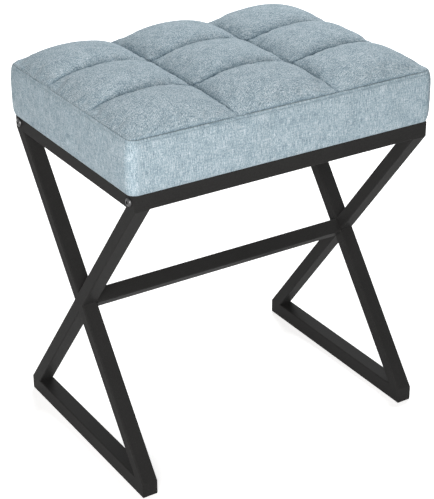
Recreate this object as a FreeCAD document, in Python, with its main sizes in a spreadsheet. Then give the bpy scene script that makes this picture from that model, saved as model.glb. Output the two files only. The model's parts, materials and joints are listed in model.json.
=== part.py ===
"""Vanity stool: a tufted seat on a knock-down steel frame.

Two welded side frames, each with a top rail, a floor rail and two crossed
legs, are held apart by a front rail, a back rail and a stretcher that stands
on its corner. The seat is a board with a foam block, a sewn side band and a
top panel of sewn pillows, bolted down through the long rails.

Frame: millimetres, +X along the stool, +Y to the back, +Z up. The origin is
on the floor under the middle of the stool.
"""
import FreeCAD, Part
import math
import os

import Sketcher

Vector = FreeCAD.Vector

# Driving sizes in millimetres, and counts. Every other size follows from them.
SIZES = {
    # steel frame
    "frame_length": 400.0,
    "frame_depth": 290.0,
    "frame_height": 390.0,
    "tube_side": 20.0,
    "tube_wall": 1.2,
    "tube_corner": 1.5,
    "leg_end_length": 19.8,
    "end_plate_thickness": 1.5,
    "stretcher_side": 18.3,
    "spigot_length": 14.0,
    "spigot_wall": 1.5,
    "slip_clearance": 0.2,
    # bolts and what they turn into
    "bolt_diameter": 6.0,
    "bolt_length": 30.0,
    "bolt_head_diameter": 10.5,
    "bolt_head_height": 3.3,
    "bolt_head_rim": 0.6,
    "bolt_socket_across": 4.0,
    "bolt_socket_depth": 1.8,
    "bolt_hole_clearance": 0.25,
    "thread_clearance": 0.05,
    "nut_plate_thickness": 4.0,
    "seat_bolt_spacing": 240.0,
    "tee_nut_flange_diameter": 15.0,
    "tee_nut_flange_thickness": 1.5,
    "tee_nut_barrel_diameter": 7.8,
    "tee_nut_height": 9.0,
    # seat
    "end_overhang": 3.6,
    "front_overhang": 0.7,
    "pad_corner_radius": 10.0,
    "board_thickness": 12.0,
    "fabric_thickness": 1.4,
    "seam_height": 63.2,
    "side_bulge": 3.0,
    "pillow_columns": 3,
    "pillow_rows": 3,
    "pillow_rise": 19.4,
    "middle_pillow_rise": 21.8,
    "groove_rise": 3.8,
    "edge_rise": 0.8,
    "groove_run_in": 26.0,
    # underside
    "dust_cover_thickness": 0.6,
    "dust_cover_clearance": 2.0,
    "dust_cover_overlap": 9.0,
    "staple_inset": 4.0,
    "staple_wire": 0.7,
    "staple_crown": 10.0,
    "staple_leg": 8.0,
    "staples_along": 7,
    "staples_across": 5,
}

# Sections of the lofts: how many spans the side band and each pillow take, and
# where the arcs of a pillow's section start, pass and end, as shares of its half depth.
BAND_SPANS = 8
PILLOW_SPANS = 8
PILLOW_ARCS = ((-1.0, -0.98, -0.92), (-0.92, -0.78, -0.6), (-0.6, 0.0, 0.6), (0.6, 0.78, 0.92),
               (0.92, 0.98, 1.0))

# Powers in the forms of the seat: a high one keeps the side band upright between its
# edges, a low one makes a pillow stand up steeply from a groove or from the rim.
SIDE_POWER = 5
ALONG_POWER = {"groove": 0.74, "rim": 1.0}
ACROSS_POWER = {"groove": 0.4, "rim": 0.5}

doc = FreeCAD.newDocument("vanity_stool")
sheet = doc.addObject("Spreadsheet::Sheet", "sizes")
for row, (alias, value) in enumerate(SIZES.items(), start=1):
    sheet.set("A%d" % row, alias)
    sheet.set("B%d" % row, "%g" % value)
    sheet.setAlias("B%d" % row, alias)
doc.recompute()

NODES = []


def size(alias):
    """The value that the sheet holds under this name."""
    return float(getattr(sheet, alias))


def bind(thing, expressions):
    """Tie properties of a document object to the sheet."""
    for name, expression in expressions.items():
        thing.setExpression(name, expression)


def node(thing, label):
    """Mark an object as a sub-part that is written out under this name."""
    thing.Label = label
    NODES.append(thing)
    return thing


# Expressions that more than one piece uses.
HALF_TUBE = "sizes.tube_side / 2"
LEG_RISE = "(sizes.frame_height - 2 * sizes.tube_side)"
LEG_RUN = "(sizes.frame_depth - sizes.leg_end_length)"
LEG_TILT = "atan(%s / %s)" % (LEG_RUN, LEG_RISE)
LEG_WIDTH = "sizes.leg_end_length * cos(%s)" % LEG_TILT
SIDE_FRAME_X = "(sizes.frame_length / 2 - sizes.tube_side / 2)"
RAIL_Y = "(sizes.frame_depth / 2 - sizes.tube_side / 2)"
PAD_LENGTH = "(sizes.frame_length + 2 * sizes.end_overhang)"
PAD_DEPTH = "(sizes.frame_depth + 2 * sizes.front_overhang)"
BOARD_LENGTH = "(%s - 2 * sizes.fabric_thickness - sizes.slip_clearance)" % PAD_LENGTH
BOARD_DEPTH = "(%s - 2 * sizes.fabric_thickness - sizes.slip_clearance)" % PAD_DEPTH
BOARD_CORNER = "(sizes.pad_corner_radius - sizes.fabric_thickness)"
BOARD_TOP = "(sizes.frame_height + sizes.fabric_thickness + sizes.board_thickness)"
BOLT_HOLE_RADIUS = "(sizes.bolt_diameter / 2 + sizes.bolt_hole_clearance)"
THREAD_RADIUS = "(sizes.bolt_diameter / 2 + sizes.thread_clearance)"


# Sketches and bodies

def new_body(name):
    return doc.addObject("PartDesign::Body", name)


def origin_plane(body, role):
    for feature in body.Origin.OriginFeatures:
        if feature.Role == role:
            return feature
    raise ValueError("no plane " + role)


def new_sketch(body, name, role="XY_Plane"):
    sketch = body.newObject("Sketcher::SketchObject", name)
    sketch.AttachmentSupport = [(origin_plane(body, role), "")]
    sketch.MapMode = "FlatFace"
    return sketch


def constrain(sketch, kind, *where, name=None, expression=None):
    """Add a constraint, and tie its value to the sheet if it has a name."""
    index = sketch.addConstraint(Sketcher.Constraint(kind, *where))
    if name:
        sketch.renameConstraint(index, name)
        sketch.setExpression("Constraints." + name, expression)


def add_rectangle(sketch, name, width, height):
    """A rectangle about the sketch's origin; width and height are expressions."""
    first = sketch.GeometryCount
    corners = [Vector(-5, -5, 0), Vector(5, -5, 0), Vector(5, 5, 0), Vector(-5, 5, 0)]
    for i in range(4):
        sketch.addGeometry(Part.LineSegment(corners[i], corners[(i + 1) % 4]), False)
    for i in range(4):
        constrain(sketch, "Coincident", first + i, 2, first + (i + 1) % 4, 1)
    for side in (0, 2):
        constrain(sketch, "Horizontal", first + side)
        constrain(sketch, "Vertical", first + side + 1)
    constrain(sketch, "Symmetric", first, 1, first + 2, 1, -1, 1)
    constrain(sketch, "DistanceX", first, 1, first, 2, 10.0, name=name + "_width", expression=width)
    constrain(sketch, "DistanceY", first + 1, 1, first + 1, 2, 10.0, name=name + "_height", expression=height)


def add_hole_pair(sketch, name, offset, radius):
    """Two equal circles on the sketch's upright axis, at plus and minus offset."""
    first = sketch.GeometryCount
    for place in (20.0, -20.0):
        sketch.addGeometry(Part.Circle(Vector(0, place, 0), Vector(0, 0, 1), 3.0), False)
    constrain(sketch, "PointOnObject", first, 3, -2)
    constrain(sketch, "Symmetric", first, 3, first + 1, 3, -1, 1)
    constrain(sketch, "Equal", first, first + 1)
    constrain(sketch, "DistanceY", -1, 1, first, 3, 20.0, name=name + "_offset", expression=offset)
    constrain(sketch, "Radius", first, 3.0, name=name + "_radius", expression=radius)


def add_four_holes(sketch, name, offset_x, offset_y, radius):
    """Four equal circles on the corners of a rectangle about the origin."""
    first = sketch.GeometryCount
    for place in ((20.0, 10.0), (-20.0, 10.0), (-20.0, -10.0), (20.0, -10.0)):
        sketch.addGeometry(Part.Circle(Vector(place[0], place[1], 0), Vector(0, 0, 1), 3.0), False)
    constrain(sketch, "Symmetric", first, 3, first + 1, 3, -2)
    constrain(sketch, "Symmetric", first, 3, first + 2, 3, -1, 1)
    constrain(sketch, "Symmetric", first, 3, first + 3, 3, -1)
    for other in (1, 2, 3):
        constrain(sketch, "Equal", first, first + other)
    constrain(sketch, "DistanceX", -1, 1, first, 3, 20.0, name=name + "_x", expression=offset_x)
    constrain(sketch, "DistanceY", -1, 1, first, 3, 10.0, name=name + "_y", expression=offset_y)
    constrain(sketch, "Radius", first, 3.0, name=name + "_radius", expression=radius)


def pad(body, sketch, name, length, symmetric=True):
    feature = body.newObject("PartDesign::Pad", name)
    feature.Profile = sketch
    feature.SideType = "Symmetric" if symmetric else "One side"
    bind(feature, {"Length": length})
    doc.recompute()
    return feature


def pocket(body, sketch, name, depth=None):
    """Cut the sketch through the whole body, or down to a depth, and test that it cut."""
    before = body.Shape.Volume
    feature = body.newObject("PartDesign::Pocket", name)
    feature.Profile = sketch
    if depth is None:
        feature.Type = "ThroughAll"
        feature.SideType = "Symmetric"
    else:
        bind(feature, {"Length": depth})
    doc.recompute()
    if body.Shape.Volume >= before:
        raise ValueError("the pocket %s cut nothing" % name)
    return feature


def round_edges(body, name, radius, chosen):
    """Fillet the edges of the body's last feature for which chosen(edge) is true."""
    base = body.Tip
    names = ["Edge%d" % (i + 1) for i, edge in enumerate(base.Shape.Edges) if chosen(edge)]
    feature = body.newObject("PartDesign::Fillet", name)
    feature.Base = (base, names)
    bind(feature, {"Radius": radius})
    doc.recompute()
    return feature


def is_upright(edge):
    """A straight edge along the body's own Z."""
    ends = edge.Vertexes
    if len(ends) != 2 or not isinstance(edge.Curve, Part.Line):
        return False
    run = ends[1].Point - ends[0].Point
    return abs(run.x) < 1e-6 and abs(run.y) < 1e-6


def section_bar(name, width, height, length, wall=None):
    """A bar along its own Z with rounded corners, hollow if it has a wall."""
    body = new_body(name)
    outline = new_sketch(body, name + "_outline")
    add_rectangle(outline, "outer", width, height)
    pad(body, outline, name + "_pad", length)
    round_edges(body, name + "_corners", "sizes.tube_corner", is_upright)
    if wall:
        bore = new_sketch(body, name + "_bore")
        add_rectangle(bore, "inner", "%s - 2 * %s" % (width, wall), "%s - 2 * %s" % (height, wall))
        pocket(body, bore, name + "_hollow")
    return body


def turn(thing, axis, degrees):
    thing.Placement = FreeCAD.Placement(Vector(0, 0, 0), FreeCAD.Rotation(axis, degrees))


def place(thing, x="0", y="0", z="0"):
    """Tie an object's place to the sheet, leaving its turn as it is."""
    for axis, expression in (("x", x), ("y", y), ("z", z)):
        if expression != "0":
            thing.setExpression("Placement.Base." + axis, expression)


def boolean(kind, name, base, tool):
    feature = doc.addObject("Part::" + kind, name)
    feature.Base = base
    feature.Tool = tool
    return feature


def group(name, members):
    feature = doc.addObject("Part::Compound", name)
    feature.Links = members
    return feature


# Side frames

SIDES = {"left": -1, "right": 1}


def floor_and_top_rail(side, sign):
    """The two level tubes of a side frame; the top one has a hole for a bolt near each end."""
    length = "sizes.frame_depth - 2 * sizes.end_plate_thickness"
    for level, height in (("floor", HALF_TUBE), ("top", "sizes.frame_height - " + HALF_TUBE)):
        name = "%s_%s_rail" % (side, level)
        rail = section_bar(name, "sizes.tube_side", "sizes.tube_side", length, "sizes.tube_wall")
        if level == "top":
            holes = new_sketch(rail, name + "_bolt_holes", "YZ_Plane")
            add_hole_pair(holes, "bolt", RAIL_Y, BOLT_HOLE_RADIUS)
            pocket(rail, holes, name + "_holes")
        turn(rail, Vector(1, 0, 0), -90)
        place(rail, x="%d * %s" % (sign, SIDE_FRAME_X), z=height)
        node(rail, name)


def end_plates(side, sign):
    """Square plates that close the ends of both level tubes."""
    plates = []
    for level, height in (("floor", HALF_TUBE), ("top", "sizes.frame_height - " + HALF_TUBE)):
        for end, direction in (("front", -1), ("back", 1)):
            name = "%s_%s_%s_plate" % (side, level, end)
            plate = section_bar(name, "sizes.tube_side", "sizes.tube_side", "sizes.end_plate_thickness")
            turn(plate, Vector(1, 0, 0), -90)
            middle = "%d * (sizes.frame_depth - sizes.end_plate_thickness) / 2" % direction
            place(plate, x="%d * %s" % (sign, SIDE_FRAME_X), y=middle, z=height)
            plates.append(plate)
    node(group(side + "_end_plates_group", plates), side + "_end_plates")


def leg_bar(name, tilt_sign, wall=None):
    """A leg's tube, longer than it needs, tilted through the middle of the side frame."""
    length = "%s / cos(%s) + 2 * sizes.tube_side" % (LEG_RISE, LEG_TILT)
    bar = section_bar(name, "sizes.tube_side", LEG_WIDTH, length, wall)
    turn(bar, Vector(1, 0, 0), 1)
    bar.setExpression("Placement.Rotation.Angle", "%d * %s" % (tilt_sign, LEG_TILT))
    place(bar, z="sizes.frame_height / 2")
    return bar


def leg_zone(name, bottom, top):
    """The block of space that a leg is kept in: between the rails, with a lip over their rounding."""
    zone = doc.addObject("Part::Box", name)
    bind(zone, {"Length": "2 * sizes.tube_side", "Width": "sizes.frame_depth",
                "Height": "%s - (%s)" % (top, bottom)})
    place(zone, x="-sizes.tube_side", y="-sizes.frame_depth / 2", z=bottom)
    return zone


def legs(side, sign):
    """One long leg from the front top to the back floor, and two halves that meet its faces.

    The ends are cut to the level rails and wrap their rounded edges, as the
    ground welds do, so that every outer face of the side frame is flush.
    """
    rails = []
    for level, height in (("floor", HALF_TUBE), ("top", "sizes.frame_height - " + HALF_TUBE)):
        bar = section_bar("%s_%s_seat" % (side, level), "sizes.tube_side", "sizes.tube_side",
                          "sizes.frame_depth")
        turn(bar, Vector(1, 0, 0), -90)
        place(bar, z=height)
        rails.append(bar)
    rail_seats = group(side + "_rail_seats", rails)
    long_leg_seat = leg_bar(side + "_long_leg_seat", 1)
    low = "sizes.tube_side - sizes.tube_corner"
    high = "sizes.frame_height - sizes.tube_side + sizes.tube_corner"
    middle = "sizes.frame_height / 2"
    pieces = (("long_leg", 1, low, high), ("upper_half_leg", -1, middle, high),
              ("lower_half_leg", -1, low, middle))
    for piece, tilt_sign, bottom, top in pieces:
        name = "%s_%s" % (side, piece)
        stock = leg_bar(name + "_tube", tilt_sign, "sizes.tube_wall")
        zone = leg_zone(name + "_zone", bottom, top)
        kept = boolean("Common", name + "_kept", stock, zone)
        if tilt_sign < 0:
            kept = boolean("Cut", name + "_butted", kept, long_leg_seat)
        leg = boolean("Cut", name + "_coped", kept, rail_seats)
        place(leg, x="%d * %s" % (sign, SIDE_FRAME_X))
        node(leg, name)


def spigot(side, sign):
    """A stub on the inner face of the crossing, over which the stretcher slips."""
    name = side + "_stretcher_spigot"
    across = "(sizes.stretcher_side - 2 * sizes.tube_wall - 2 * sizes.slip_clearance)"
    stub = section_bar(name, across, across, "sizes.spigot_length", "sizes.spigot_wall")
    stub.Placement = FreeCAD.Placement(Vector(0, 0, 0), stretcher_turn())
    middle = "%d * (sizes.frame_length / 2 - sizes.tube_side - sizes.spigot_length / 2)" % sign
    place(stub, x=middle, z="sizes.frame_height / 2")
    node(stub, name)


# Rails between the side frames

def stretcher_turn():
    """The stretcher lies along X and stands on one corner of its square section."""
    along = FreeCAD.Rotation(Vector(0, 1, 0), 90)
    return along.multiply(FreeCAD.Rotation(Vector(0, 0, 1), 45))


def long_rails():
    """The front and back rails, with a hole near each end for a bolt up into the seat."""
    length = "sizes.frame_length - 2 * sizes.tube_side"
    for end, direction in (("front", -1), ("back", 1)):
        name = end + "_rail"
        rail = section_bar(name, "sizes.tube_side", "sizes.tube_side", length, "sizes.tube_wall")
        holes = new_sketch(rail, name + "_bolt_holes", "YZ_Plane")
        add_hole_pair(holes, "seat_bolt", "sizes.seat_bolt_spacing / 2", BOLT_HOLE_RADIUS)
        pocket(rail, holes, name + "_holes")
        rail.Placement = FreeCAD.Placement(Vector(0, 0, 0), long_rail_turn())
        place(rail, y="%d * %s" % (direction, RAIL_Y), z="sizes.frame_height - " + HALF_TUBE)
        node(rail, name)


def long_rail_turn():
    """The rail's own Z lies along the stool's X, and its holes stand upright."""
    return FreeCAD.Rotation(Vector(0, 1, 0), 90)


def stretcher():
    length = "sizes.frame_length - 2 * sizes.tube_side"
    bar = section_bar("stretcher", "sizes.stretcher_side", "sizes.stretcher_side", length,
                      "sizes.tube_wall")
    bar.Placement = FreeCAD.Placement(Vector(0, 0, 0), stretcher_turn())
    place(bar, z="sizes.frame_height / 2")
    node(bar, "stretcher")


def rail_nut_plates():
    """A threaded plate welded inside each end of the two long rails."""
    side = "(sizes.tube_side - 2 * sizes.tube_wall - sizes.slip_clearance)"
    plates = []
    for sign in (-1, 1):
        for direction in (-1, 1):
            name = "nut_plate_%d" % len(plates)
            block = doc.addObject("Part::Box", name + "_block")
            bind(block, {"Length": "sizes.nut_plate_thickness", "Width": side, "Height": side})
            inner = "%d * (sizes.frame_length / 2 - sizes.tube_side - sizes.nut_plate_thickness / 2)" % sign
            place(block, x=inner + " - sizes.nut_plate_thickness / 2",
                  y="%d * %s - %s / 2" % (direction, RAIL_Y, side),
                  z="sizes.frame_height - %s - %s / 2" % (HALF_TUBE, side))
            thread = doc.addObject("Part::Cylinder", name + "_thread")
            turn(thread, Vector(0, 1, 0), 90)
            bind(thread, {"Radius": THREAD_RADIUS, "Height": "3 * sizes.nut_plate_thickness"})
            place(thread, x=inner + " - 3 * sizes.nut_plate_thickness / 2",
                  y="%d * %s" % (direction, RAIL_Y), z="sizes.frame_height - " + HALF_TUBE)
            plates.append(boolean("Cut", name, block, thread))
    node(group("nut_plate_group", plates), "rail_nut_plates")


# Bolts and tee nuts

def button_bolt(name):
    """A button-head bolt: its bearing face at Z 0, its shank below and its domed head above."""
    body = new_body(name)
    shank = body.newObject("PartDesign::AdditiveCylinder", name + "_shank")
    bind(shank, {"Radius": "sizes.bolt_diameter / 2", "Height": "sizes.bolt_length",
                 "Placement.Base.z": "-sizes.bolt_length"})
    head = body.newObject("PartDesign::AdditiveCylinder", name + "_head")
    bind(head, {"Radius": "sizes.bolt_head_diameter / 2", "Height": "sizes.bolt_head_height"})
    doc.recompute()
    top = size("bolt_head_height")

    def is_head_rim(edge):
        return all(abs(v.Z - top) < 1e-6 for v in edge.Vertexes)

    round_edges(body, name + "_dome", "sizes.bolt_head_height - sizes.bolt_head_rim", is_head_rim)
    socket = body.newObject("PartDesign::SubtractivePrism", name + "_socket")
    socket.Polygon = 6
    bind(socket, {"Circumradius": "sizes.bolt_socket_across / 2 / cos(30)",
                  "Height": "sizes.bolt_socket_depth",
                  "Placement.Base.z": "sizes.bolt_head_height - sizes.bolt_socket_depth"})
    doc.recompute()
    return body


def corner_bolts():
    """Four bolts through the top rails of the side frames into the ends of the long rails."""
    bolts = []
    for sign in (-1, 1):
        for direction in (-1, 1):
            bolt = button_bolt("corner_bolt_%d" % len(bolts))
            turn(bolt, Vector(0, 1, 0), 90 * sign)
            place(bolt, x="%d * sizes.frame_length / 2" % sign, y="%d * %s" % (direction, RAIL_Y),
                  z="sizes.frame_height - " + HALF_TUBE)
            bolts.append(bolt)
    node(group("corner_bolt_group", bolts), "corner_bolts")


def seat_bolts():
    """Four bolts up through the long rails into the seat board, with their tee nuts."""
    bolts = []
    nuts = []
    for sign in (-1, 1):
        for direction in (-1, 1):
            x = "%d * sizes.seat_bolt_spacing / 2" % sign
            y = "%d * %s" % (direction, RAIL_Y)
            bolt = button_bolt("seat_bolt_%d" % len(bolts))
            turn(bolt, Vector(1, 0, 0), 180)
            place(bolt, x=x, y=y, z="sizes.frame_height - sizes.tube_side")
            bolts.append(bolt)
            nut = tee_nut("tee_nut_%d" % len(nuts))
            place(nut, x=x, y=y, z=BOARD_TOP)
            nuts.append(nut)
    node(group("seat_bolt_group", bolts), "seat_bolts")
    node(group("tee_nut_group", nuts), "seat_tee_nuts")


def tee_nut(name):
    """A flange flush with the top of the board and a threaded barrel below it."""
    body = new_body(name)
    flange = body.newObject("PartDesign::AdditiveCylinder", name + "_flange")
    bind(flange, {"Radius": "sizes.tee_nut_flange_diameter / 2",
                  "Height": "sizes.tee_nut_flange_thickness",
                  "Placement.Base.z": "-sizes.tee_nut_flange_thickness"})
    barrel = body.newObject("PartDesign::AdditiveCylinder", name + "_barrel")
    bind(barrel, {"Radius": "sizes.tee_nut_barrel_diameter / 2", "Height": "sizes.tee_nut_height",
                  "Placement.Base.z": "-sizes.tee_nut_height"})
    bore = body.newObject("PartDesign::SubtractiveCylinder", name + "_bore")
    bind(bore, {"Radius": THREAD_RADIUS, "Height": "sizes.tee_nut_height",
                "Placement.Base.z": "-sizes.tee_nut_height"})
    doc.recompute()
    return body


# Staples, which the board and both cloths are pierced for

def staple(middle, along):
    """One staple, its crown centred on middle and running along a direction, its legs up."""
    wire = size("staple_wire")
    crown = size("staple_crown")
    across = Vector(0, 0, 1).cross(along)
    start = middle - along * (crown / 2) - across * (wire / 2)

    def bar(corner, run, height):
        foot = [corner, corner + along * run, corner + along * run + across * wire,
                corner + across * wire]
        face = Part.Face(Part.makePolygon(foot + [corner]))
        return face.extrude(Vector(0, 0, height))

    rise = wire + size("staple_leg")
    far = start + along * (crown - wire)
    return bar(start, crown, wire).fuse([bar(start, wire, rise), bar(far, wire, rise)]).removeSplitter()


def spread(count, half):
    """Evenly spaced places between minus half and plus half."""
    return [-half + 2 * half * i / (count - 1) for i in range(count)]


def dust_cover_half():
    """Half the length and half the depth of the sheet that closes the underside."""
    gap = size("tube_side") + size("dust_cover_clearance")
    return size("frame_length") / 2 - gap, size("frame_depth") / 2 - gap


def staples():
    """Staples in a rectangle just inside the edge of the dust cover."""
    half_length, half_depth = dust_cover_half()
    line_x = half_length - size("staple_inset")
    line_y = half_depth - size("staple_inset")
    bottom = size("frame_height") - size("dust_cover_thickness") - size("staple_wire")
    clear_of_corner = size("staple_crown")
    shapes = []
    for sign in (-1, 1):
        for x in spread(int(size("staples_along")), line_x - clear_of_corner):
            shapes.append(staple(Vector(x, sign * line_y, bottom), Vector(1, 0, 0)))
        for y in spread(int(size("staples_across")), line_y - 2 * clear_of_corner):
            shapes.append(staple(Vector(sign * line_x, y, bottom), Vector(0, 1, 0)))
    feature = doc.addObject("Part::Feature", "staple_group")
    feature.Shape = Part.makeCompound(shapes)
    node(feature, "cover_staples")
    return feature


# Seat

def upholstered_block(name, top, thickness):
    """A block with the board's outline: its own top is at Z 0."""
    body = new_body(name)
    outline = new_sketch(body, name + "_outline")
    add_rectangle(outline, "edge", BOARD_LENGTH, BOARD_DEPTH)
    slab = pad(body, outline, name + "_pad", thickness, symmetric=False)
    slab.Reversed = True
    doc.recompute()
    round_edges(body, name + "_corners", BOARD_CORNER, is_upright)
    place(body, z=top)
    return body


def seat_board(staple_group):
    """Plywood with a stepped hole for each tee nut, pierced by the staples."""
    board = upholstered_block("board", BOARD_TOP, "sizes.board_thickness")
    for part, across, depth in (("barrel", "sizes.tee_nut_barrel_diameter", None),
                                ("flange", "sizes.tee_nut_flange_diameter",
                                 "sizes.tee_nut_flange_thickness")):
        holes = new_sketch(board, "board_%s_holes" % part)
        radius = "%s / 2 + sizes.thread_clearance" % across
        add_four_holes(holes, part, "sizes.seat_bolt_spacing / 2", RAIL_Y, radius)
        pocket(board, holes, "board_%s_pocket" % part, depth)
    node(boolean("Cut", "board_pierced", board, staple_group), "seat_board")


def pad_half():
    """Half the length and half the depth of the seat's cover, at its seam and at its foot."""
    half_length = size("frame_length") / 2 + size("end_overhang")
    return half_length, size("frame_depth") / 2 + size("front_overhang")


def seat_foam():
    """The block of foam between the board and the top panel."""
    top = "sizes.frame_height + sizes.seam_height"
    thickness = "sizes.seam_height - sizes.fabric_thickness - sizes.board_thickness"
    node(upholstered_block("foam", top, thickness), "seat_foam")


def rounded_outline(half_x, half_y, radius, z):
    """A closed wire of four lines and four quarter arcs, level at height z."""
    lean = radius * math.sqrt(0.5)
    arcs = []
    for sx, sy in ((1, -1), (1, 1), (-1, 1), (-1, -1)):
        centre = Vector(sx * (half_x - radius), sy * (half_y - radius), z)
        along_x, along_y = Vector(sx * radius, 0, 0), Vector(0, sy * radius, 0)
        first, last = (along_y, along_x) if sx != sy else (along_x, along_y)
        arcs.append((centre + first, centre + Vector(sx * lean, sy * lean, 0), centre + last))
    edges = []
    for i, arc in enumerate(arcs):
        edges.append(Part.Arc(*arc).toShape())
        edges.append(Part.LineSegment(arc[2], arcs[(i + 1) % 4][0]).toShape())
    return Part.Wire(edges)


def side_band(staple_group):
    """The sewn side of the cover: it swells between the seam and the frame, and turns under the board.

    Level outlines are lofted from the frame to the seam. At the share t of
    that height each stands out from the bottom one by
    side_bulge * (1 - |2t - 1| ** SIDE_POWER).
    """
    bottom = size("frame_height")
    height = size("seam_height")
    half_x, half_y = pad_half()
    radius = size("pad_corner_radius")
    outlines = []
    for i in range(BAND_SPANS + 1):
        share = (1 - math.cos(math.pi * i / BAND_SPANS)) / 2
        out = size("side_bulge") * (1 - abs(2 * share - 1) ** SIDE_POWER)
        outlines.append(rounded_outline(half_x + out, half_y + out, radius + out, bottom + height * share))
    swell = Part.makeLoft(outlines, True, False)
    fabric = size("fabric_thickness")
    inside = Part.Face(rounded_outline(half_x - fabric, half_y - fabric, radius - fabric, bottom + fabric))
    band = swell.cut(inside.extrude(Vector(0, 0, height)))
    open_x, open_y = [half - size("dust_cover_overlap") for half in dust_cover_half()]
    opening = Part.makeBox(2 * open_x, 2 * open_y, 3 * fabric, Vector(-open_x, -open_y, bottom - fabric))
    band = band.cut(opening)
    hole_radius = size("bolt_diameter") / 2 + size("bolt_hole_clearance")
    rail_y = size("frame_depth") / 2 - size("tube_side") / 2
    for sign in (-1, 1):
        for direction in (-1, 1):
            foot = Vector(sign * size("seat_bolt_spacing") / 2, direction * rail_y, bottom - fabric)
            band = band.cut(Part.makeCylinder(hole_radius, 3 * fabric, foot))
    band = band.cut(staple_group.Shape)
    feature = doc.addObject("Part::Feature", "side_band")
    feature.Shape = band
    node(feature, "cover_side_band")


def fullness(share, powers):
    """Share of a pillow's rise at a place from -1 to 1 across it: (1 - share ** 2) ** power."""
    return (1 - share * share) ** powers[0 if share < 0 else 1]


def edge_powers(powers, index, count):
    """The powers on the low and high side of one pillow in a line of them."""
    return (powers["rim" if index == 0 else "groove"],
            powers["rim" if index == count - 1 else "groove"])


def groove_height(distance_in):
    """Height of a groove's floor over the seam: it climbs from the rim over its first stretch."""
    share = min(1.0, distance_in / size("groove_run_in"))
    return size("edge_rise") + (size("groove_rise") - size("edge_rise")) * math.sin(share * math.pi / 2)


def pillows_section(x, base, rise):
    """One upright section through a column of pillows: flat base, two short walls, arcs on top."""
    half_x, half_y = pad_half()
    rows = int(size("pillow_rows"))
    deep = 2 * half_y / rows
    rim, floor = size("edge_rise"), groove_height(half_x - abs(x))
    levels = [rim] + [floor] * (rows - 1) + [rim]

    def top(row, share):
        across = edge_powers(ACROSS_POWER, row, rows)
        part = (share + 1) / 2
        level = levels[row] * (1 - part) + levels[row + 1] * part
        return Vector(x, -half_y + deep * (row + part), base + level + rise * fullness(share, across))

    foot_low, foot_high = Vector(x, -half_y, base), Vector(x, half_y, base)
    edges = [Part.LineSegment(foot_low, foot_high), Part.LineSegment(foot_high, top(rows - 1, 1.0))]
    for row in reversed(range(rows)):
        for start, middle, end in reversed(PILLOW_ARCS):
            edges.append(Part.Arc(top(row, end), top(row, middle), top(row, start)))
    edges.append(Part.LineSegment(top(0, -1.0), foot_low))
    return Part.Wire([edge.toShape() for edge in edges])


def tufted_top_panel():
    """The top of the cover: pillows in rows and columns, sewn down along the grooves between them.

    Each column is a loft along X through upright sections, with its crowns
    highest in the middle. Neighbours share the section in the groove between
    them, so all columns join into one solid, cut to the seam's rounded outline.
    """
    base = size("frame_height") + size("seam_height")
    half_x, half_y = pad_half()
    columns = int(size("pillow_columns"))
    wide = 2 * half_x / columns
    least_rise = size("edge_rise") / 2
    lofts = []
    for column in range(columns):
        along = edge_powers(ALONG_POWER, column, columns)
        outer = column in (0, columns - 1)
        full_rise = size("pillow_rise" if outer else "middle_pillow_rise")
        sections = []
        for i in range(PILLOW_SPANS + 1):
            share = -math.cos(math.pi * i / PILLOW_SPANS)
            x = -half_x + wide * (column + (1 + share) / 2)
            sections.append(pillows_section(x, base, least_rise + full_rise * fullness(share, along)))
        lofts.append(Part.makeLoft(sections, True, False))
    panel = lofts[0].fuse(lofts[1:])
    outline = Part.Face(rounded_outline(half_x, half_y, size("pad_corner_radius"), base))
    panel = panel.common(outline.extrude(Vector(0, 0, 3 * full_rise)))
    feature = doc.addObject("Part::Feature", "top_panel")
    feature.Shape = panel
    node(feature, "tufted_top_panel")


def dust_cover(staple_group):
    """The thin cloth that closes the underside inside the frame, pierced by the staples."""
    half_length = "(sizes.frame_length / 2 - sizes.tube_side - sizes.dust_cover_clearance)"
    half_depth = "(sizes.frame_depth / 2 - sizes.tube_side - sizes.dust_cover_clearance)"
    cloth = doc.addObject("Part::Box", "dust_cover_sheet")
    bind(cloth, {"Length": "2 * " + half_length, "Width": "2 * " + half_depth,
                 "Height": "sizes.dust_cover_thickness"})
    place(cloth, x="-" + half_length, y="-" + half_depth,
          z="sizes.frame_height - sizes.dust_cover_thickness")
    node(boolean("Cut", "dust_cover_pierced", cloth, staple_group), "dust_cover")


# Assembly

for side_name, side_sign in SIDES.items():
    floor_and_top_rail(side_name, side_sign)
    end_plates(side_name, side_sign)
    legs(side_name, side_sign)
    spigot(side_name, side_sign)
long_rails()
rail_nut_plates()
stretcher()
corner_bolts()
seat_bolts()
staple_shapes = staples()
seat_board(staple_shapes)
seat_foam()
side_band(staple_shapes)
tufted_top_panel()
dust_cover(staple_shapes)
doc.recompute()


# Tests and files

failed = [thing.Label for thing in doc.Objects if {"Invalid", "Error"} & set(thing.State)]
if failed:
    raise ValueError("these objects failed: " + ", ".join(failed))
for part in NODES:
    if part.Shape.isNull() or not part.Shape.isValid():
        raise ValueError("the shape of %s is not valid" % part.Label)

os.makedirs("parts", exist_ok=True)
for part in NODES:
    part.Shape.exportStep("parts/%s.step" % part.Label)
    box = part.Shape.optimalBoundingBox()
    print("%-26s solids %2d  volume %10.1f  X %7.1f %7.1f  Y %7.1f %7.1f  Z %6.1f %6.1f" % (
        part.Label, len(part.Shape.Solids), part.Shape.Volume,
        box.XMin, box.XMax, box.YMin, box.YMax, box.ZMin, box.ZMax))
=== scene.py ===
"""Looks of a vanity stool: a tufted linen seat on a powder-coated frame of square tube.

Metres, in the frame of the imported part: +X along the stool, +Y to the back, +Z up,
with the origin on the floor under the middle of the stool.
"""
import json
import math

import bpy
import numpy as np
from mathutils import Matrix, Vector


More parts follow.
